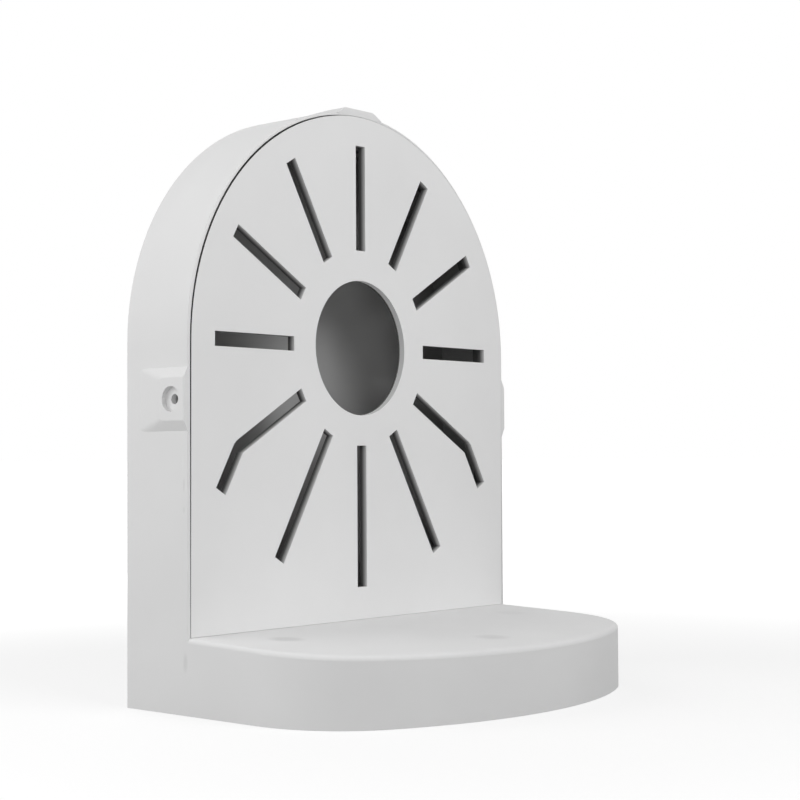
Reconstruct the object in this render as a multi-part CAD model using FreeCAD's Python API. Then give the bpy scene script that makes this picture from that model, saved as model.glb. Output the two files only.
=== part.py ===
import FreeCAD, Part
import math
import os

# L-shaped wall bracket and junction box for a small dome camera, in millimetres, +Z up.
# It stands on the face that goes against the wall, so the wall is the plane Z = 0.
# X runs across the camera plate, whose front face lies in the plane Y = 0 and faces -Y.
# The origin is the middle of the wall side's cable entry.

# Outside sizes of the housing
width = 111.5
arm_depth = 20.3
arch_centre_height = 79.8
foot_height = 16.3
foot_slope_deg = 2.1
foot_reach = 53.3
foot_front_r = 92.4
foot_corner_r = 26.0

# Walls and rounded edges of the housing moulding
wall = 2.5
lip_width = 0.6
lip_edge_chamfer = 0.3
back_edge_chamfer = 0.8
foot_edge_r = 1.1
ledge_depth = 2.0
ledge_reach = 1.7
sill_height = 2.0
window_corner_r = 4.0

# Gap round a plate that is let into the housing, and the smaller one under the camera plate
plate_gap = 0.3
plate_foot_gap = 0.1

# Camera plate
camera_plate_thickness = 2.0
camera_plate_proud = 0.1
camera_plate_edge_chamfer = 0.1
centre_hole_r = 15.9
hole_rise = 0.3
slot_width = 2.9
slot_inner_r = 23.0
slot_outer_r = 47.9
long_slot_outer_r = 56.2
bend_r = 47.0
bend_length = 11.0
slot_step_deg = 30.0
locating_rib_width = 1.5
locating_rib_height = 3.0

# Lugs for the three side screws that hold the camera plate
lug_drop = 12.9
lug_height = 1.2
lug_top_width = 9.2
lug_foot_width = 13.7
lug_top_length = 7.8
lug_foot_length = 15.2
lug_corner_r = 2.6
lug_root = 0.6
lug_edge_r = 0.5
lug_screw_y = 4.25
lug_hole_r = 1.1
lug_counterbore_r = 2.75
lug_counterbore_depth = 1.2
screw_block_width = 9.0
screw_block_length = 5.3
screw_block_depth = 4.5
side_pilot_r = 0.8
side_pilot_depth = 6.5

# Wall plate
wall_plate_thickness = 2.5
wall_rib_width = 1.5
wall_rib_height = 2.0
cable_entry_r = 11.0
cable_collar_width = 1.8
cable_collar_height = 2.5
keyhole_spacing = 54.0
keyhole_from_front = 21.5
keyhole_head_r = 4.5
keyhole_neck_r = 2.3
keyhole_travel = 9.0
fixing_spacing = 52.0
fixing_y = 9.0
fixing_slot_r = 2.3
fixing_slot_length = 10.0

# Tongues of the wall plate that hook into pockets in the housing's back wall
tongue_spacing = 60.0
tongue_width = 10.0
tongue_reach = 1.2
tongue_thickness = 1.5

# Screw posts and the bosses of the wall plate that meet them
post_r = 3.5
post_pilot_r = 1.3
post_pilot_depth = 7.0
boss_height = 5.0
boss_r = 5.5
boss_clearance_r = 1.7
side_post_inset = 18.5
side_post_y = -11.0
front_post_inset = 13.5
post_rib_width = 1.2
post_rib_depth = 4.5

# Wall plate screws
screw_head_r = 2.9
screw_head_height = 2.0
screw_recess_gap = 0.3
screw_recess_depth = 2.6
screw_shank_r = 1.2
screw_length = 8.0
cross_width = 0.7
cross_length = 3.4
cross_depth = 1.2

# Worked out from the sizes above
half_width = width / 2.0
cavity_r = half_width - wall
recess_r = half_width - lip_width
window_r = cavity_r - ledge_reach
plate_r = recess_r - plate_gap
cavity_back = arm_depth - wall
ledge_back = camera_plate_thickness + ledge_depth
hole_height = arch_centre_height + hole_rise
beyond = 1.0

X_AXIS = FreeCAD.Vector(1, 0, 0)
Y_AXIS = FreeCAD.Vector(0, 1, 0)
Z_AXIS = FreeCAD.Vector(0, 0, 1)


def point(x, y, z):
    return FreeCAD.Vector(x, y, z)


def line(start, end):
    return Part.LineSegment(start, end).toShape()


def arc(start, middle, end):
    return Part.Arc(start, middle, end).toShape()


def box(x_range, y_range, z_range):
    size = [high - low for low, high in (x_range, y_range, z_range)]
    return Part.makeBox(size[0], size[1], size[2], point(x_range[0], y_range[0], z_range[0]))


def cylinder(radius, base, height, axis=Z_AXIS):
    return Part.makeCylinder(radius, height, base, axis)


def extrude(edges, direction):
    return Part.Face(Part.Wire(edges)).extrude(direction)


def fillet_edges(solid, radius, wanted):
    edges = [edge for edge in solid.Edges if wanted(edge)]
    return solid.makeFillet(radius, edges)


def chamfer_edges(solid, size, wanted):
    edges = [edge for edge in solid.Edges if wanted(edge)]
    return solid.makeChamfer(size, edges)


def on_plane(edge, axis, value):
    """True where the whole edge lies in the plane axis = value."""
    bounds = edge.BoundBox
    low = getattr(bounds, axis + "Min")
    high = getattr(bounds, axis + "Max")
    return abs(low - value) < 0.001 and abs(high - value) < 0.001


def arch(radius, bottom, front, back, corner_r=0.0):
    """Straight sides under half a circle round the arch's centre, from y front to y back."""
    top = arch_centre_height
    edges = [
        arc(point(-radius, front, top), point(0, front, top + radius), point(radius, front, top)),
        line(point(radius, front, top), point(radius, front, bottom + corner_r)),
    ]
    if corner_r > 0:
        reach = radius - corner_r
        diagonal = corner_r * (1 - math.sqrt(0.5))
        for side in (1, -1):
            high = point(side * radius, front, bottom + corner_r)
            middle = point(side * (radius - diagonal), front, bottom + diagonal)
            low = point(side * reach, front, bottom)
            edges.append(arc(high, middle, low) if side > 0 else arc(low, middle, high))
        edges.insert(3, line(point(reach, front, bottom), point(-reach, front, bottom)))
    else:
        edges.append(line(point(radius, front, bottom), point(-radius, front, bottom)))
    edges.append(line(point(-radius, front, bottom + corner_r), point(-radius, front, top)))
    return extrude(edges, point(0, back - front, 0))


def foot(inset, back, low, high):
    """The foot's plan outline, moved in by inset, between the heights low and high."""
    side = half_width - inset
    centre_gap = foot_front_r - foot_corner_r
    corner_x = half_width - foot_corner_r
    front_y = foot_front_r - foot_reach
    corner_y = front_y - math.sqrt(centre_gap ** 2 - corner_x ** 2)
    corner_r = foot_corner_r - inset
    front_r = foot_front_r - inset
    lean = math.atan2(corner_y - front_y, corner_x)
    half_lean = lean / 2.0

    def on_corner(angle, flip):
        x = corner_x + corner_r * math.cos(angle)
        y = corner_y + corner_r * math.sin(angle)
        return point(flip * x, y, low)

    front = point(0, front_y - front_r, low)
    edges = [
        line(point(side, back, low), on_corner(0, 1)),
        arc(on_corner(0, 1), on_corner(half_lean, 1), on_corner(lean, 1)),
        arc(on_corner(lean, 1), front, on_corner(lean, -1)),
        arc(on_corner(lean, -1), on_corner(half_lean, -1), on_corner(0, -1)),
        line(on_corner(0, -1), point(-side, back, low)),
        line(point(-side, back, low), point(side, back, low)),
    ]
    return extrude(edges, point(0, 0, high - low))


def above_foot_top(depth):
    """What lies above the foot's top, which slopes down from the arm, moved down by depth."""
    hinge = point(0, camera_plate_proud, foot_height - depth)
    solid = box((-width, width), (-width, width), (hinge.z, hinge.z + foot_height))
    solid.rotate(hinge, X_AXIS, foot_slope_deg)
    return solid


def slot_shape(start, end, radius, low, high):
    """A round-ended slot between two points of the XY plane."""
    run = end - start
    across = point(-run.y, run.x, 0).normalize() * radius
    along = point(run.x, run.y, 0).normalize() * radius
    lift = point(0, 0, low)
    edges = [
        line(start - across + lift, end - across + lift),
        arc(end - across + lift, end + along + lift, end + across + lift),
        line(end + across + lift, start + across + lift),
        arc(start + across + lift, start - along + lift, start - across + lift),
    ]
    return extrude(edges, point(0, 0, high - low))


def foot_posts():
    """The axes of the three screw posts under the foot's top."""
    side_x = half_width - side_post_inset
    front_y = front_post_inset - foot_reach
    return [point(-side_x, side_post_y, 0), point(side_x, side_post_y, 0), point(0, front_y, 0)]


# The housing's three lugs, drawn with the wall's outside as their plane Z = 0


def lug_places():
    """The rotation about Y and the foot of each lug: left side, right side and apex."""
    side_z = arch_centre_height - lug_drop
    return [
        (-90.0, point(-half_width, 0, side_z)),
        (90.0, point(half_width, 0, side_z)),
        (0.0, point(0, 0, arch_centre_height + half_width)),
    ]


def place(shape, turn, foot_point):
    placed = shape.copy()
    placed.rotate(point(0, 0, 0), Y_AXIS, turn)
    placed.translate(foot_point)
    return placed


def lug_size(height):
    """Half the lug's width, and its length, at a height over the wall."""
    drop = (lug_height - height) / lug_height
    half = (lug_top_width + drop * (lug_foot_width - lug_top_width)) / 2.0
    return half, lug_top_length + drop * (lug_foot_length - lug_top_length)


def lug():
    """A wedge with sloping sides, ramped behind, whose rear corners and outer edges are rounded."""
    low_half, low_length = lug_size(-lug_root)
    high_half, high_length = lug_size(lug_height)
    low_corner = (-low_half, -lug_root, -low_length)
    front = -camera_plate_proud
    high_corner = (low_half, lug_height, front)
    solid = Part.makeWedge(*low_corner, -high_length, -high_half, *high_corner, front, high_half)
    solid.rotate(point(0, 0, 0), X_AXIS, 90)

    def rear_corner(edge):
        bounds = edge.BoundBox
        return bounds.YMin > camera_plate_proud + 0.001 and bounds.ZLength > lug_height

    solid = fillet_edges(solid, lug_corner_r, rear_corner)
    return fillet_edges(solid, lug_edge_r, lambda edge: on_plane(edge, "Z", lug_height))


def lug_screw_hole():
    floor = lug_height - lug_counterbore_depth
    head = cylinder(lug_counterbore_r, point(0, lug_screw_y, floor), lug_counterbore_depth + beyond)
    shank = cylinder(lug_hole_r, point(0, lug_screw_y, -wall - beyond), wall + lug_height + beyond)
    return head.fuse(shank)


def screw_block(clearance):
    """The block behind the camera plate that a side screw bites into, in the lug's own frame."""
    half = screw_block_width / 2.0 + clearance
    top = -wall - plate_gap + clearance
    return box(
        (-half, half),
        (camera_plate_thickness, camera_plate_thickness + screw_block_depth),
        (top - screw_block_length, top),
    )


# The pieces


def housing_skin():
    """The closed outer form: arm and foot, with their rounded edges."""
    front = camera_plate_proud
    foot_back = arm_depth / 2.0

    def at_arm_end(y):
        return lambda edge: on_plane(edge, "Y", y) and not on_plane(edge, "Z", 0)

    def round_foot_top(edge):
        return edge.BoundBox.ZMin > foot_height / 2.0 and not on_plane(edge, "Y", foot_back)

    arm = arch(half_width, 0, front, arm_depth)
    arm = chamfer_edges(arm, lip_edge_chamfer, at_arm_end(front))
    arm = chamfer_edges(arm, back_edge_chamfer, at_arm_end(arm_depth))
    leg = foot(0, foot_back, 0, foot_height + beyond).cut(above_foot_top(0))
    leg = fillet_edges(leg, foot_edge_r, round_foot_top)
    skin = arm.fuse(leg)
    for turn, foot_point in lug_places():
        skin = skin.fuse(place(lug(), turn, foot_point))
    return skin


def housing_hollow():
    """What is empty inside: recess and window of the camera plate, arm and foot cavities."""
    recess = arch(recess_r, foot_height, -beyond, camera_plate_thickness)
    window = arch(window_r, foot_height + sill_height, -beyond, ledge_back + beyond, window_corner_r)
    arm_cavity = arch(cavity_r, -beyond, ledge_back, cavity_back)
    foot_cavity = foot(wall, cavity_back, -beyond, foot_height).cut(above_foot_top(wall))
    hollow = recess.fuse([window, arm_cavity, foot_cavity])
    ledge_band = arch(cavity_r, foot_height + sill_height, camera_plate_thickness, ledge_back)
    for turn, foot_point in lug_places():
        opening = place(screw_block(2 * plate_gap), turn, foot_point)
        hollow = hollow.fuse(opening.common(ledge_band))
    return hollow


def post_rib(start, end):
    """A rib under the foot's top from one point of the plan to another."""
    run = end - start
    angle = math.degrees(math.atan2(run.y, run.x))
    low = foot_height - wall - post_rib_depth
    rib = box((0, run.Length), (-post_rib_width / 2.0, post_rib_width / 2.0), (low, foot_height))
    rib.rotate(point(0, 0, 0), Z_AXIS, angle)
    rib.translate(start)
    return rib


def foot_post_group():
    """The posts and their ribs, which end in the middle of the foot's top wall."""
    left, right, front = foot_posts()
    side = half_width - wall / 2.0
    height = foot_height - boss_height
    solids = [cylinder(post_r, post + point(0, 0, boss_height), height) for post in (left, right, front)]
    solids.append(post_rib(left, front))
    solids.append(post_rib(front, right))
    solids.append(post_rib(point(-side, left.y, 0), left))
    solids.append(post_rib(right, point(side, right.y, 0)))
    solids.append(post_rib(point(0, wall / 2.0 - foot_reach, 0), front))
    ceiling = above_foot_top(wall / 2.0)
    return [solid.cut(ceiling) for solid in solids]


def tongues(clearance):
    """Two tongues on the wall plate's rim that reach into the housing's back wall."""
    top = wall_plate_thickness + wall_rib_height
    front = cavity_back - plate_gap - wall_rib_width
    half = tongue_width / 2.0 + clearance
    return [
        box(
            (centre - half, centre + half),
            (front, cavity_back + tongue_reach + clearance),
            (top - tongue_thickness - clearance, top + clearance),
        )
        for centre in (-tongue_spacing / 2.0, tongue_spacing / 2.0)
    ]


def make_housing():
    housing = housing_skin().cut(housing_hollow())
    housing = housing.fuse(foot_post_group())
    cutters = tongues(plate_gap)
    cutters.extend(place(lug_screw_hole(), turn, foot_point) for turn, foot_point in lug_places())
    for post in foot_posts():
        base = post + point(0, 0, boss_height - beyond)
        cutters.append(cylinder(post_pilot_r, base, post_pilot_depth + beyond))
    return housing.cut(cutters).removeSplitter()


def bar(start, end, half_start, half_end):
    """A square-ended cutter through the camera plate, in the plane of the plate."""
    run = (end - start).normalize()
    across = point(run.z, 0, -run.x) * (slot_width / 2.0)
    first = start - run * half_start
    last = end + run * half_end
    lift = point(0, -beyond, 0)
    corners = [first - across + lift, last - across + lift, last + across + lift, first + across + lift]
    edges = [line(corners[i], corners[(i + 1) % 4]) for i in range(4)]
    return extrude(edges, point(0, camera_plate_thickness + 2 * beyond, 0))


def toward(angle_deg, distance):
    """A point of the camera plate seen from the hole's centre; 0 degrees is straight up."""
    angle = math.radians(angle_deg)
    return point(distance * math.sin(angle), 0, hole_height + distance * math.cos(angle))


def camera_slots():
    """Twelve radial slots. The two at 120 degrees turn downwards near their outer ends."""
    slots = []
    count = int(round(360 / slot_step_deg))
    for index in range(count):
        angle = index * slot_step_deg
        from_top = min(angle, 360 - angle)
        inner = toward(angle, slot_inner_r)
        if abs(from_top - 4 * slot_step_deg) < 1:
            turn_to = angle + math.copysign(slot_step_deg, 180 - angle)
            bend = toward(angle, bend_r)
            tip = bend + toward(turn_to, bend_length) - toward(turn_to, 0)
            slots.append(bar(inner, bend, 0, slot_width / 4.0))
            slots.append(bar(bend, tip, slot_width / 4.0, 0))
        else:
            outer_r = long_slot_outer_r if from_top > 4 * slot_step_deg else slot_outer_r
            slots.append(bar(inner, toward(angle, outer_r), 0, 0))
    return slots


def make_camera_plate():
    bottom = foot_height + plate_foot_gap
    plate = arch(plate_r, bottom, 0, camera_plate_thickness)
    plate = chamfer_edges(plate, camera_plate_edge_chamfer, lambda edge: on_plane(edge, "Y", 0))
    centre_hole = cylinder(centre_hole_r, point(0, -beyond, hole_height), arm_depth, Y_AXIS)
    plate = plate.cut(camera_slots() + [centre_hole])
    rib_r = window_r - plate_gap
    rib_bottom = foot_height + sill_height + plate_gap
    rib_back = camera_plate_thickness + locating_rib_height
    rib = arch(rib_r, rib_bottom, camera_plate_thickness, rib_back, window_corner_r - plate_gap)
    rib = rib.cut(arch(
        rib_r - locating_rib_width,
        rib_bottom + locating_rib_width,
        camera_plate_thickness - beyond,
        rib_back + beyond,
        window_corner_r - plate_gap - locating_rib_width,
    ))
    within = arch(cavity_r - plate_gap, bottom, camera_plate_thickness, arm_depth)
    blocks = [place(screw_block(0), turn, foot_point).common(within) for turn, foot_point in lug_places()]
    plate = plate.fuse([rib] + blocks)
    pilot_base = point(0, lug_screw_y, -lip_width - plate_gap - side_pilot_depth)
    pilot = cylinder(side_pilot_r, pilot_base, side_pilot_depth + beyond)
    return plate.cut([place(pilot, turn, foot_point) for turn, foot_point in lug_places()]).removeSplitter()


def make_wall_plate():
    inset = wall + plate_gap
    back = cavity_back - plate_gap
    top = wall_plate_thickness
    plate = foot(inset, back, 0, top)
    rim_top = top + wall_rib_height
    rim = foot(inset, back, top, rim_top)
    rim = rim.cut(foot(inset + wall_rib_width, back - wall_rib_width, top - beyond, rim_top + beyond))
    bosses = [cylinder(boss_r, post, boss_height) for post in foot_posts()]
    collar = cylinder(cable_entry_r + cable_collar_width, point(0, 0, 0), top + cable_collar_height)
    inside = foot(inset, back, 0, boss_height + cable_collar_height)
    plate = plate.fuse([rim] + tongues(0) + [raised.common(inside) for raised in bosses + [collar]])
    through = boss_height + cable_collar_height + beyond
    cutters = [cylinder(cable_entry_r, point(0, 0, -beyond), through + beyond)]
    for post in foot_posts():
        head_r = screw_head_r + screw_recess_gap
        cutters.append(cylinder(head_r, post - point(0, 0, beyond), screw_recess_depth + beyond))
        cutters.append(cylinder(boss_clearance_r, post, through))
    for side in (-1, 1):
        head = point(side * keyhole_spacing / 2.0, keyhole_from_front - foot_reach, 0)
        neck_end = head + point(0, keyhole_travel, 0)
        cutters.append(cylinder(keyhole_head_r, head - point(0, 0, beyond), through))
        cutters.append(slot_shape(head, neck_end, keyhole_neck_r, -beyond, through))
        fixing = point(side * fixing_spacing / 2.0, fixing_y, 0)
        half_run = point(fixing_slot_length / 2.0 - fixing_slot_r, 0, 0)
        cutters.append(slot_shape(fixing - half_run, fixing + half_run, fixing_slot_r, -beyond, through))
    return plate.cut(cutters).removeSplitter()


def wall_plate_screw():
    """A cross-head screw with its head down, seated in the recess of a wall plate boss."""
    seat = screw_recess_depth
    head_low = seat - screw_head_height
    head = cylinder(screw_head_r, point(0, 0, head_low), screw_head_height)
    shank = cylinder(screw_shank_r, point(0, 0, seat), screw_length)
    half_width_of_cross = cross_width / 2.0
    half_length = cross_length / 2.0
    depth = (head_low - beyond, head_low + cross_depth)
    cross = box((-half_length, half_length), (-half_width_of_cross, half_width_of_cross), depth)
    cross = cross.fuse(box((-half_width_of_cross, half_width_of_cross), (-half_length, half_length), depth))
    return head.fuse(shank).cut(cross).removeSplitter()


def make_wall_plate_screws():
    screws = []
    for post in foot_posts():
        screw = wall_plate_screw()
        screw.translate(post)
        screws.append(screw)
    return Part.makeCompound(screws)


def main():
    os.makedirs("parts", exist_ok=True)
    pieces = {
        "housing": make_housing(),
        "camera_plate": make_camera_plate(),
        "wall_plate": make_wall_plate(),
        "wall_plate_screws": make_wall_plate_screws(),
    }
    for name, shape in pieces.items():
        shape.exportStep("parts/" + name + ".step")
        bounds = shape.BoundBox
        print(name, len(shape.Solids), "solids, valid", shape.isValid(), "volume", round(shape.Volume, 1))
        print("   from", [round(v, 2) for v in (bounds.XMin, bounds.YMin, bounds.ZMin)])
        print("   to  ", [round(v, 2) for v in (bounds.XMax, bounds.YMax, bounds.ZMax)])


main()
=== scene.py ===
import math

import bmesh
import bpy
from mathutils import Matrix, Vector


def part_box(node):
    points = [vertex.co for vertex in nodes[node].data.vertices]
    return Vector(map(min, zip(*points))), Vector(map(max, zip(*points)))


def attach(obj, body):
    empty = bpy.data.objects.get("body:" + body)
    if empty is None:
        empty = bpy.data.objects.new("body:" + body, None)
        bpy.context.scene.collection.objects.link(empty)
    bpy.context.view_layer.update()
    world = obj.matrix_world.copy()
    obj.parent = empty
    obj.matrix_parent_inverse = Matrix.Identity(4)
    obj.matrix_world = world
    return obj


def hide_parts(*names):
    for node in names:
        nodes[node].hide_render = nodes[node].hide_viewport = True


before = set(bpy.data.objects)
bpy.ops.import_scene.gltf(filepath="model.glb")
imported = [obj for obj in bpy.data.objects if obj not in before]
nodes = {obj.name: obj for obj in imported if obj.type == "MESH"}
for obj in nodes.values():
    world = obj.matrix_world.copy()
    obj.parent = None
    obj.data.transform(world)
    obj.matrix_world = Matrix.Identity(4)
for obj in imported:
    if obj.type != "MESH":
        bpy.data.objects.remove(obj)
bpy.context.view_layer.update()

# Housing: the arched arm, the D-shaped foot and the three lugs are one white ABS moulding.
# It came out of a spark-eroded mould, so its skin is a fine satin grain. The thick screw posts
# under the foot's top have pulled shallow sink marks into the face above them.

MM = 0.001
plastic_ior = 1.53
plastic_gloss = 0.16
housing_white = (0.76, 0.76, 0.76)
housing_roughness = 0.64
# Painted shade: the inside of the arm's hollow is painted this much darker.
housing_hollow_shade = 0.55
housing_noise_shift = 0.0
arm_half_width = 55.75 * MM
arch_centre_height = 79.8 * MM
plate_back = 2.0 * MM
arm_back = 20.3 * MM
skin_middle = 1.3 * MM
hollow_margin = 0.05 * MM
noise_low = 0.3
noise_high = 0.7
grain_period = 0.45 * MM
grain_height = 0.004
grain_detail = 2.0
wave_period = 16 * MM
wave_height = 0.03
wave_detail = 1.0
tone_period = 30 * MM
tone_change = 0.02
tone_detail = 3.0
sheen_change = 0.04
sheen_detail = 2.0
mark_core = 0.25
foot_top = 16.3 * MM
foot_slope = math.tan(math.radians(2.1))
sink_radius = 5.0 * MM
sink_depth = 0.22
# How far each sink mark lies aside and forward of its post in mm, and how much darker it is
# painted: painted shade in its dimple.
sinks = {
    "left": (-2.6, -2.3, 0.15),
    "front": (-1.2, 1.3, 0.1),
    "right": (2.6, -2.3, 0.04),
}
screw_reach = 6 * MM
gate_place = (0, arm_back, 66 * MM)
gate_dish_radius = 2.4 * MM
gate_dish_depth = 0.2
gate_pip_radius = 0.8 * MM
gate_pip_height = 0.25
gate_pip_tone = 0.03
scuff_reach = 2 * MM
# Each scuff on the left wall: its middle as Y and Z, its half sizes along them and its depth,
# all in mm, and how much darker it is.
scuffs = {
    "beside_lug": ((1.8, 53.7), (0.45, 2.6), 0.03, -0.02),
    "upper_tick": ((1.4, 48.5), (0.35, 2.0), 0.05, 0.08),
    "lower_tick": ((1.4, 43.2), (0.4, 1.0), 0.04, 0.06),
    "foot_nick": ((1.0, 11.0), (0.9, 2.7), 0.06, 0.09),
}


def screw_axes():
    """Where the wall plate's screws stand in plan, read off the fixed frame."""
    groups = []
    for vertex in nodes["wall_plate_screws"].data.vertices:
        spot = Vector((vertex.co.x, vertex.co.y))
        for group in groups:
            if (group[0] - spot).length < screw_reach:
                group.append(spot)
                break
        else:
            groups.append([spot])
    axes = []
    for group in groups:
        xs = [spot.x for spot in group]
        ys = [spot.y for spot in group]
        axes.append(Vector(((min(xs) + max(xs)) / 2, (min(ys) + max(ys)) / 2)))
    return sorted(axes, key=lambda axis: axis.x)


class Wiring:
    """A material's nodes, added and joined one at a time."""

    def __init__(self, name):
        self.material = bpy.data.materials.new(name)
        self.material.use_nodes = True
        self.tree = self.material.node_tree
        self.tree.nodes.clear()
        self.output = self.tree.nodes.new("ShaderNodeOutputMaterial")
        self.place = self.tree.nodes.new("ShaderNodeTexCoord").outputs["Object"]
        split = self.add("ShaderNodeSeparateXYZ", {0: self.place})
        self.x, self.y, self.z = (split.outputs[axis] for axis in "XYZ")

    def add(self, kind, inputs=None, **settings):
        node = self.tree.nodes.new(kind)
        for key, value in settings.items():
            setattr(node, key, value)
        for key, value in (inputs or {}).items():
            if isinstance(value, bpy.types.NodeSocket):
                self.tree.links.new(value, node.inputs[key])
            else:
                node.inputs[key].default_value = value
        return node

    def math(self, operation, *values):
        return self.add("ShaderNodeMath", dict(enumerate(values)), operation=operation).outputs[0]

    def vector(self, operation, *values, out="Vector"):
        node = self.add("ShaderNodeVectorMath", dict(enumerate(values)), operation=operation)
        return node.outputs[out]

    def noise(self, period, detail, shift=0.0):
        spot = self.vector("ADD", self.place, (shift, shift, shift))
        inputs = {"Vector": spot, "Scale": 1 / period, "Detail": detail}
        return self.add("ShaderNodeTexNoise", inputs).outputs["Fac"]

    def span(self, value, low, high, to_low, to_high, smooth=False):
        """A value between low and high, mapped to lie between to_low and to_high."""
        inputs = {
            "Value": value,
            "From Min": low, "From Max": high,
            "To Min": to_low, "To Max": to_high,
        }
        kind = "SMOOTHSTEP" if smooth else "LINEAR"
        return self.add("ShaderNodeMapRange", inputs, interpolation_type=kind).outputs["Result"]

    def drift(self, noise, low, high):
        """A value that wanders from low to high as the noise does."""
        return self.span(noise, noise_low, noise_high, low, high)

    def tinted(self, colour, level):
        inputs = {0: colour, "Scale": level}
        return self.add("ShaderNodeVectorMath", inputs, operation="SCALE").outputs[0]

    def mark(self, place, size):
        """1 in the middle of an oval mark, fading to 0 at its rim."""
        from_middle = self.vector("DIVIDE", self.vector("SUBTRACT", self.place, place), size)
        away = self.vector("LENGTH", from_middle, out="Value")
        return self.span(away, mark_core, 1.0, 1.0, 0.0, smooth=True)

    def relief(self, height):
        """The normal of a surface whose height is given in millimetres."""
        inputs = {"Height": height, "Distance": MM, "Strength": 1.0}
        return self.add("ShaderNodeBump", inputs).outputs["Normal"]


def from_arch_middle(wiring):
    """How far out a point lies: from the arch's centre, or below it from the middle plane."""
    rise = wiring.math("MAXIMUM", wiring.math("SUBTRACT", wiring.z, arch_centre_height), 0.0)
    aside_squared = wiring.math("POWER", wiring.x, 2.0)
    rise_squared = wiring.math("POWER", rise, 2.0)
    return wiring.math("SQRT", wiring.math("ADD", aside_squared, rise_squared))


def shade_round_arm_hollow(wiring):
    """The housing's painted shade: darker round the arm's hollow, where shade falls, and 1 outside
    it.
    """
    mask = wiring.math("LESS_THAN", from_arch_middle(wiring), arm_half_width - skin_middle)
    for test, value, limit in (
        ("GREATER_THAN", wiring.y, plate_back - hollow_margin),
        ("LESS_THAN", wiring.y, arm_back - skin_middle),
        ("GREATER_THAN", wiring.z, skin_middle),
    ):
        mask = wiring.math("MULTIPLY", mask, wiring.math(test, value, limit))
    return wiring.span(mask, 0.0, 1.0, 1.0, housing_hollow_shade)


def satin_plastic(name, white, roughness, shift, painted_shade=None, marks=()):
    """White moulded ABS: fine grain, a slight wave from cooling, and a tone that drifts.

    A mark is a place, a size, a depth in millimetres and how much darker it is; on the sink marks
    that darkening is painted shade.
    """
    wiring = Wiring(name)
    tone_noise = wiring.noise(tone_period, tone_detail, shift)
    level = wiring.drift(tone_noise, 1 - tone_change, 1 + tone_change)
    # Where a shading function is given, it darkens the colour: painted shade.
    if painted_shade:
        level = wiring.math("MULTIPLY", level, painted_shade(wiring))
    wave = wiring.noise(wave_period, wave_detail, shift + 1)
    wave = wiring.math("MULTIPLY", wave, wave_height)
    grain = wiring.noise(grain_period, grain_detail, shift + 2)
    grain = wiring.math("MULTIPLY", grain, grain_height)
    height = wiring.math("ADD", wave, grain)
    for place, size, depth, darker in marks:
        mark = wiring.mark(place, size)
        height = wiring.math("SUBTRACT", height, wiring.math("MULTIPLY", mark, depth))
        level = wiring.math("MULTIPLY", level, wiring.span(mark, 0.0, 1.0, 1.0, 1 - darker))
    sheen_noise = wiring.noise(tone_period, sheen_detail, shift + 3)
    shader = wiring.add("ShaderNodeBsdfPrincipled", {
        "Base Color": wiring.tinted(white, level),
        "Roughness": wiring.drift(sheen_noise, roughness - sheen_change, roughness + sheen_change),
        "IOR": plastic_ior,
        "Specular IOR Level": plastic_gloss,
        "Normal": wiring.relief(height),
    })
    wiring.tree.links.new(shader.outputs[0], wiring.output.inputs["Surface"])
    return wiring.material


def finish_node(node, material):
    node.data.materials.clear()
    node.data.materials.append(material)


def round_size(radius):
    return (radius, radius, radius)


housing = nodes["housing"]
posts = screw_axes()
housing_marks = []
for (y, z), (half_y, half_z), depth, darker in scuffs.values():
    scuff_place = (-arm_half_width, y * MM, z * MM)
    scuff_size = (scuff_reach, half_y * MM, half_z * MM)
    housing_marks.append((scuff_place, scuff_size, depth, darker))
# The sink marks' darkening is painted shade in their dimples.
for post, (aside, forward, darker) in zip(posts, sinks.values()):
    sink_x, sink_y = post.x + aside * MM, post.y + forward * MM
    sink_place = (sink_x, sink_y, foot_top + sink_y * foot_slope)
    housing_marks.append((sink_place, round_size(sink_radius), sink_depth, darker))
housing_marks.append((gate_place, round_size(gate_dish_radius), gate_dish_depth, 0.0))
housing_marks.append((gate_place, round_size(gate_pip_radius), -gate_pip_height, gate_pip_tone))
finish_node(housing, satin_plastic(
    "housing_satin_white", housing_white, housing_roughness, housing_noise_shift,
    shade_round_arm_hollow, housing_marks,
))

# Camera plate: the slotted white ABS moulding that lies flush in the arm's open front, on a
# ledge inside it. It sits a little off centre: the gap round it is widest at the upper left,
# and nearly shut on the right. Its slots are 0.4 mm wider here than in the solids.

plate_white = (0.81, 0.81, 0.81)
plate_roughness = 0.64
plate_noise_shift = 5.0
# Painted shade: the slots' walls darken to this tone with depth, as does the hole's wall past its
# front land.
slot_shade_tone = 0.15
slot_shade_start = 0.1 * MM
slot_shade_end = 1.4 * MM
plate_radius = 54.85 * MM
plate_foot = 16.4 * MM
across_plate = (1, 0, 1)
hole_middle = (0, 0, 80.1 * MM)
hole_reach = 16.2 * MM
hole_land = 1.45 * MM
slot_widening = 0.2 * MM
slot_end_width = 5 * MM
plate_low_edge = 17 * MM
plate_side_edge = 54 * MM
same_place = 0.01 * MM
wall_tilt = 0.01
same_facing = 0.999
rim_edge = 0.1 * MM
# Painted shade: the plate's edge in the gap round it is painted this dark.
rim_shade_tone = 0.1
rim_slack = 0.02 * MM
rim_from = plate_radius - rim_edge - rim_slack
rim_straight = arch_centre_height - plate_foot
rim_arch = math.pi * plate_radius
drawn_gap = 0.3 * MM
foot_seat = 0.04 * MM
# Ways along the rim, from its left foot over the arch to its right foot, and the gap there.
rim_gaps = [(along * MM, gap * MM) for along, gap in (
    (0, 0.05), (28, 0.08), (44, 0.2), (63, 0.3), (80, 0.42), (120, 0.4), (138, 0.2),
    (146, 0.05), (236, 0.03), (249, 0.06), (256, 0.2), (299.2, 0.25),
)]


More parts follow.
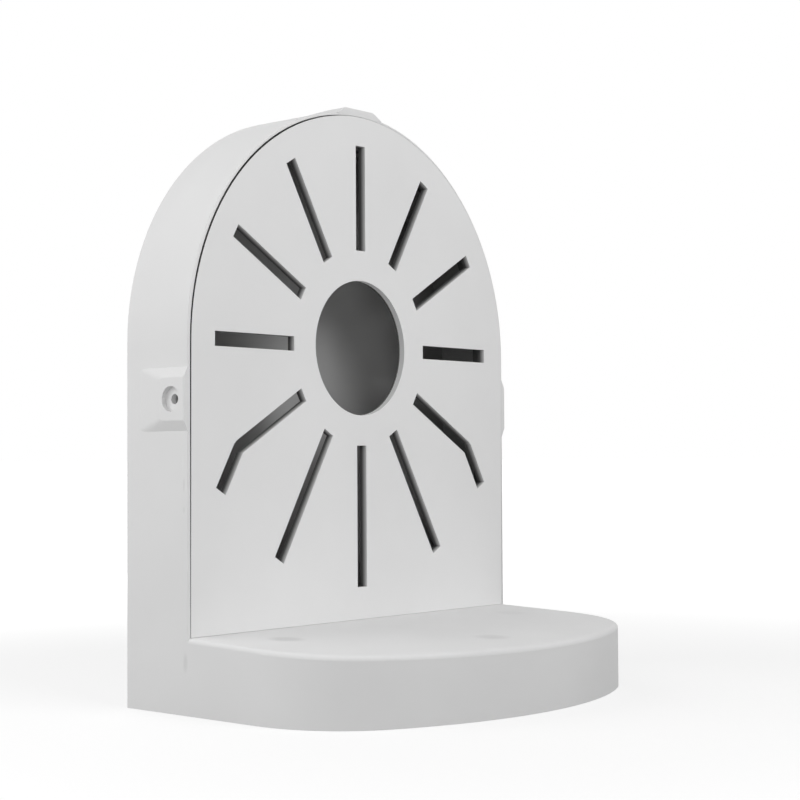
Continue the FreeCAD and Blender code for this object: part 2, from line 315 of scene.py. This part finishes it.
def shade_down_the_slots(wiring):
    """The plate's painted shade: 1 on its face, and darker down the slots, past the hole's front
    land and in the gap round the rim.
    """
    slots = wiring.span(wiring.y, slot_shade_start, slot_shade_end, 1.0, slot_shade_tone)
    from_hole = wiring.vector("SUBTRACT", wiring.place, hole_middle)
    from_hole = wiring.vector("MULTIPLY", from_hole, across_plate)
    from_hole = wiring.vector("LENGTH", from_hole, out="Value")
    at_hole = wiring.math("LESS_THAN", from_hole, hole_reach)
    land = wiring.math("MULTIPLY", at_hole, wiring.math("LESS_THAN", wiring.y, hole_land))
    slots = wiring.math("MAXIMUM", slots, land)
    rim = wiring.math("GREATER_THAN", from_arch_middle(wiring), plate_radius - drawn_gap)
    rim = wiring.math("MULTIPLY", rim, wiring.math("GREATER_THAN", wiring.y, rim_edge / 2))
    return wiring.math("MINIMUM", slots, wiring.span(rim, 0.0, 1.0, 1.0, rim_shade_tone))


def gap_beside(along):
    """The gap between the plate and the housing, at a way along the plate's rim."""
    for (start, first), (end, last) in zip(rim_gaps, rim_gaps[1:]):
        if along <= end:
            return first + (last - first) * (along - start) / (end - start)
    return rim_gaps[-1][1]


def seat_rim(vertex):
    """Moves a vertex of the plate's rim to the gap that the seated plate has there."""
    x, y, z = vertex.co
    if z > arch_centre_height:
        away = Vector((x, 0, z - arch_centre_height))
        along = rim_straight + rim_arch * (0.5 + math.atan2(x, away.z) / math.pi)
    else:
        away = Vector((x, 0, 0))
        along = z - plate_foot if x < 0 else 2 * rim_straight + rim_arch - (z - plate_foot)
    if away.length > rim_from:
        vertex.co += away.normalized() * (drawn_gap - gap_beside(along))
    if z < plate_foot + rim_edge + rim_slack:
        vertex.co.z = plate_foot - foot_seat


def over_plate(place):
    """A point's place in the plate's plane, rounded so that points of one corner share it."""
    return round(place.x / same_place), round(place.z / same_place)


def in_slot_walls(places):
    """Whether a wall's face is longer than a slot's end, and inside the plate's own edges."""
    length = max((first - second).xz.length for first in places for second in places)
    return length > slot_end_width and all(
        place.y < plate_back + same_place
        and place.z > plate_low_edge
        and abs(place.x) < plate_side_edge
        for place in places
    )


def widen_slots(mesh):
    """Moves the long walls of the slots apart, and leaves their ends where they are."""
    walls = {}
    for face in mesh.polygons:
        places = [mesh.vertices[corner].co for corner in face.vertices]
        if abs(face.normal.y) < wall_tilt and in_slot_walls(places):
            for place in places:
                facing = walls.setdefault(over_plate(place), [])
                if all(face.normal.dot(other) < same_facing for other in facing):
                    facing.append(face.normal.copy())
    for vertex in mesh.vertices:
        facing = walls.get(over_plate(vertex.co))
        if facing:
            spread = 1 if len(facing) == 1 else 1 + facing[0].dot(facing[1])
            vertex.co -= sum(facing, Vector()) * slot_widening / spread


camera_plate = nodes["camera_plate"]
plate_mesh = camera_plate.data.copy()
widen_slots(plate_mesh)
for vertex in plate_mesh.vertices:
    seat_rim(vertex)
seated_plate = bpy.data.objects.new("camera_plate_seated", plate_mesh)
bpy.context.scene.collection.objects.link(seated_plate)
finish_node(seated_plate, satin_plastic(
    "plate_satin_white", plate_white, plate_roughness, plate_noise_shift, shade_down_the_slots
))
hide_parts("camera_plate")
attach(seated_plate, "root")

# Wall plate: the flat white ABS plate that closes the foot and is screwed to the wall.
# Two tongues hook it into the back of the housing, and three screws hold its front. The
# mould's ejector pins have left round marks on it.

wall_plate_white = (0.74, 0.74, 0.74)
wall_plate_roughness = 0.64
wall_plate_noise_shift = 9.0
ejector_radius = 2.6 * MM
ejector_depth = 0.15
ejector_spots = [(-44, 6), (44, 6), (-16, -23), (16, -23)]
ejector_marks = [
    ((x * MM, y * MM, 0), round_size(ejector_radius), ejector_depth, 0.0)
    for x, y in ejector_spots
]
wall_plate = nodes["wall_plate"]
finish_node(wall_plate, satin_plastic(
    "wall_plate_satin_white", wall_plate_white, wall_plate_roughness, wall_plate_noise_shift,
    marks=ejector_marks,
))

# Wall plate screws: zinc-plated steel pan-head screws with a cross recess and a coarse
# thread for plastic. They are driven up from the wall side into the posts.

zinc = (0.60, 0.60, 0.59)
zinc_patch = 1.2 * MM
zinc_patch_detail = 3.0
zinc_tone_change = 0.08
zinc_smoothest = 0.24
zinc_roughest = 0.38
zinc_grain_period = 0.15 * MM
zinc_grain_detail = 2.0
zinc_grain_height = 0.002
screw_sides = 40
head_radius = 2.9 * MM
head_height = 2.0 * MM
head_crown = 0.15 * MM
# Shares of the crown's height and of the head's flat radius, for the rings of the crown.
crown_rings = ((0.0, 0.5), (0.4, 0.8))
head_round = 0.7 * MM
round_steps = 5
neck_radius = 1.2 * MM
neck_length = 0.5 * MM
core_radius = 0.92 * MM
crest_radius = 1.26 * MM
thread_pitch = 1.1 * MM
rings_per_turn = 9
thread_width = 0.5
tip_length = 0.9 * MM
tip_radius = 0.3 * MM
cross_length = 3.4 * MM
cross_width = 0.75 * MM
cross_floor_length = 1.6 * MM
cross_floor_width = 0.5 * MM
cross_depth = 1.2 * MM
sharp_edge_angle = math.radians(35)
drive_turns = {"left": 12, "front": 70, "right": -31}


def zinc_plating():
    wiring = Wiring("zinc_plated_steel")
    patches = wiring.noise(zinc_patch, zinc_patch_detail)
    level = wiring.drift(patches, 1 - zinc_tone_change, 1 + zinc_tone_change)
    grain = wiring.noise(zinc_grain_period, zinc_grain_detail)
    shader = wiring.add("ShaderNodeBsdfPrincipled", {
        "Base Color": wiring.tinted(zinc, level),
        "Metallic": 1.0,
        "Roughness": wiring.drift(patches, zinc_smoothest, zinc_roughest),
        "Normal": wiring.relief(wiring.math("MULTIPLY", grain, zinc_grain_height)),
    })
    wiring.tree.links.new(shader.outputs[0], wiring.output.inputs["Surface"])
    return wiring.material


def thread_radius(turn, climb, room):
    """The radius at a turn about the axis, this far over the thread's start and below its end."""
    phase = (climb / thread_pitch - turn / (2 * math.pi)) % 1
    ridge = max(0.0, 1 - abs(phase - 0.5) * 2 / thread_width)
    fade = min(1.0, climb / thread_pitch, room / thread_pitch)
    return core_radius + (crest_radius - core_radius) * ridge * max(0.0, fade)


def screw_rings(low, high):
    """Heights and radii of the screw's rings, from the crown of its head up to its tip."""
    turns = [2 * math.pi * side / screw_sides for side in range(screw_sides)]
    flat_radius = head_radius - head_round
    seat = low + head_height
    rings = [(low + rise * head_crown, radius * flat_radius) for rise, radius in crown_rings]
    for step in range(round_steps + 1):
        angle = math.pi / 2 * step / round_steps
        rise = head_crown + head_round * (1 - math.cos(angle))
        rings.append((low + rise, flat_radius + head_round * math.sin(angle)))
    rings += [(seat, head_radius), (seat, neck_radius), (seat + neck_length, neck_radius)]
    rings = [(height, [radius] * screw_sides) for height, radius in rings]
    start, end = seat + neck_length, high - tip_length
    count = int((end - start) / thread_pitch * rings_per_turn)
    for step in range(1, count + 1):
        climb = (end - start) * step / count
        radii = [thread_radius(turn, climb, end - start - climb) for turn in turns]
        rings.append((start + climb, radii))
    rings.append((high, [tip_radius] * screw_sides))
    return turns, rings


def cross_wing(low):
    """A tapered bar that cuts one arm of the cross recess, drawn wider below the head."""
    form = bmesh.new()
    corners = []
    for rise, length, width in (
        (-cross_depth, 2 * cross_length - cross_floor_length, 2 * cross_width - cross_floor_width),
        (cross_depth, cross_floor_length, cross_floor_width),
    ):
        for x, y in ((-1, -1), (1, -1), (1, 1), (-1, 1)):
            corners.append(form.verts.new((x * length / 2, y * width / 2, low + rise)))
    form.faces.new(corners[3::-1])
    form.faces.new(corners[4:])
    for side in range(4):
        after = (side + 1) % 4
        form.faces.new([corners[side], corners[after], corners[after + 4], corners[side + 4]])
    mesh = bpy.data.meshes.new("cross_wing")
    form.to_mesh(mesh)
    form.free()
    return mesh


def cut_away(body, cutters):
    """The body's mesh with each cutter taken out of it."""
    for cutter in cutters:
        bpy.context.scene.collection.objects.link(cutter)
        cutting = body.modifiers.new(cutter.name, "BOOLEAN")
        cutting.operation = "DIFFERENCE"
        cutting.solver = "EXACT"
        cutting.object = cutter
    bpy.context.view_layer.update()
    graph = bpy.context.evaluated_depsgraph_get()
    mesh = bpy.data.meshes.new_from_object(body.evaluated_get(graph))
    for cutter in cutters:
        bpy.data.objects.remove(cutter)
    bpy.data.objects.remove(body)
    return mesh


def screw_mesh(low, high):
    form = bmesh.new()
    turns, rings = screw_rings(low, high)
    loops = []
    for height, radii in rings:
        loops.append([
            form.verts.new((radius * math.cos(turn), radius * math.sin(turn), height))
            for turn, radius in zip(turns, radii)
        ])
    form.faces.new(loops[0][::-1])
    form.faces.new(loops[-1])
    for below, above in zip(loops, loops[1:]):
        for side in range(screw_sides):
            after = (side + 1) % screw_sides
            form.faces.new([below[side], below[after], above[after], above[side]])
    mesh = bpy.data.meshes.new("wall_plate_screw")
    form.to_mesh(mesh)
    form.free()
    blank = bpy.data.objects.new("screw_blank", mesh)
    bpy.context.scene.collection.objects.link(blank)
    wings = []
    for quarter in range(2):
        wing = bpy.data.objects.new("cross_wing_%d" % quarter, cross_wing(low))
        wing.rotation_euler.z = quarter * math.pi / 2
        wings.append(wing)
    mesh = cut_away(blank, wings)
    mesh.shade_smooth()
    mesh.set_sharp_from_angle(angle=sharp_edge_angle)
    return mesh


screw_low, screw_high = (corner.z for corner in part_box("wall_plate_screws"))
screw_finish = zinc_plating()
screw_form = screw_mesh(screw_low, screw_high)
screw_form.materials.clear()
screw_form.materials.append(screw_finish)
for (side, drive), axis in zip(drive_turns.items(), posts):
    screw = bpy.data.objects.new("wall_plate_screw_" + side, screw_form.copy())
    screw.location = (axis.x, axis.y, 0)
    screw.rotation_euler.z = math.radians(drive)
    bpy.context.scene.collection.objects.link(screw)
    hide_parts("wall_plate_screws")
    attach(screw, "root")

# Studio: a plain pale floor under a soft even sky, with broad soft boxes round the bracket,
# the strongest in front and to the left. Camera, reflections and clear things see the
# backdrop and floor as white.

floor_radius = 40.0
floor_sides = 96
floor_drop = 0.05 * MM
floor_grey = (0.35, 0.35, 0.35)
floor_lift_near = 0.65
floor_lift_far = 1.0
floor_lift_start = 0.1
floor_lift_end = 0.42
sky_strength = 0.3
lamp_aim = Vector((0, -10, 70)) * MM
lamp_distance = 0.4
lamp_side = 0.3
# Each soft box's turn about the bracket and height over it in degrees, and its watts.
soft_boxes = {
    "left_rear": (-120, 20, 0.73),
    "left_front": (-60, 10, 0.35),
    "front": (0, 40, 0.73),
    "right_front": (30, 10, 0.21),
    "back": (160, 15, 0.5),
}


def seen_directly(tree):
    """1 for camera, glossy and transmission rays, and 0 for the rays that light the bracket."""
    path = tree.nodes.new("ShaderNodeLightPath")
    highest = path.outputs["Is Camera Ray"]
    for ray in ("Is Glossy Ray", "Is Transmission Ray"):
        node = tree.nodes.new("ShaderNodeMath")
        node.operation = "MAXIMUM"
        tree.links.new(highest, node.inputs[0])
        tree.links.new(path.outputs[ray], node.inputs[1])
        highest = node.outputs[0]
    return highest


def make_floor():
    mesh = bpy.data.meshes.new("studio_floor")
    form = bmesh.new()
    bmesh.ops.create_circle(form, cap_ends=True, radius=floor_radius, segments=floor_sides)
    form.to_mesh(mesh)
    form.free()
    floor = bpy.data.objects.new("studio_floor", mesh)
    floor.location.z = -floor_drop
    bpy.context.scene.collection.objects.link(floor)
    wiring = Wiring("studio_floor_paint")
    away = wiring.vector("LENGTH", wiring.place, out="Value")
    lift_here = wiring.span(
        away, floor_lift_start, floor_lift_end, floor_lift_near, floor_lift_far, smooth=True
    )
    paint = wiring.add("ShaderNodeBsdfDiffuse", {"Color": (*floor_grey, 1)})
    strength = wiring.math("MULTIPLY", seen_directly(wiring.tree), lift_here)
    lift = wiring.add("ShaderNodeEmission", {"Strength": strength})
    both = wiring.add("ShaderNodeAddShader", {0: paint.outputs[0], 1: lift.outputs[0]})
    wiring.tree.links.new(both.outputs[0], wiring.output.inputs["Surface"])
    mesh.materials.append(wiring.material)


def make_sky():
    world = bpy.data.worlds.new("studio_sky")
    world.use_nodes = True
    tree = world.node_tree
    tree.nodes.clear()
    level = tree.nodes.new("ShaderNodeMapRange")
    level.inputs["To Min"].default_value = sky_strength
    level.inputs["To Max"].default_value = 1.0
    tree.links.new(seen_directly(tree), level.inputs["Value"])
    light = tree.nodes.new("ShaderNodeBackground")
    light.inputs["Color"].default_value = (1, 1, 1, 1)
    tree.links.new(level.outputs["Result"], light.inputs["Strength"])
    output = tree.nodes.new("ShaderNodeOutputWorld")
    tree.links.new(light.outputs[0], output.inputs["Surface"])
    bpy.context.scene.world = world


def make_soft_box(name, turn, height, watts):
    """A square lamp aimed at the bracket. A turn of 0 lights from -Y, and one of -90 from -X."""
    light = bpy.data.lights.new(name, "AREA")
    light.energy = watts
    light.size = lamp_side
    turn, height = math.radians(turn), math.radians(height)
    come_from = Vector((
        math.sin(turn) * math.cos(height),
        -math.cos(turn) * math.cos(height),
        math.sin(height),
    ))
    lamp = bpy.data.objects.new(name, light)
    lamp.location = lamp_aim + come_from * lamp_distance
    lamp.rotation_mode = "QUATERNION"
    lamp.rotation_quaternion = come_from.to_track_quat("Z", "Y")
    lamp.visible_camera = False
    bpy.context.scene.collection.objects.link(lamp)


make_floor()
make_sky()
for name, (turn, height, watts) in soft_boxes.items():
    make_soft_box(name, turn, height, watts)

# Camera: low and to the left of the bracket, a little above the floor, turned to the
# same angle as the photograph.

camera_place = Vector((-303.87, -264.97, 54.14)) * MM
camera_heading = math.radians(47.857)
camera_tilt = math.radians(1.951)
camera_roll = math.radians(-0.245)
sensor_width = 36.0
lens_length = 76.98
frame_shift = 0.0875
nearest_seen = 0.01
farthest_seen = 200.0

camera_data = bpy.data.cameras.new("photo_camera")
camera_data.sensor_width = sensor_width
camera_data.lens = lens_length
camera_data.shift_x = frame_shift
camera_data.clip_start = nearest_seen
camera_data.clip_end = farthest_seen
camera = bpy.data.objects.new("photo_camera", camera_data)
camera.matrix_world = (
    Matrix.Translation(camera_place)
    @ Matrix.Rotation(-camera_heading, 4, "Z")
    @ Matrix.Rotation(math.pi / 2 + camera_tilt, 4, "X")
    @ Matrix.Rotation(camera_roll, 4, "Z")
)
bpy.context.scene.collection.objects.link(camera)
bpy.context.scene.camera = camera
bpy.context.scene.view_settings.view_transform = "Standard"
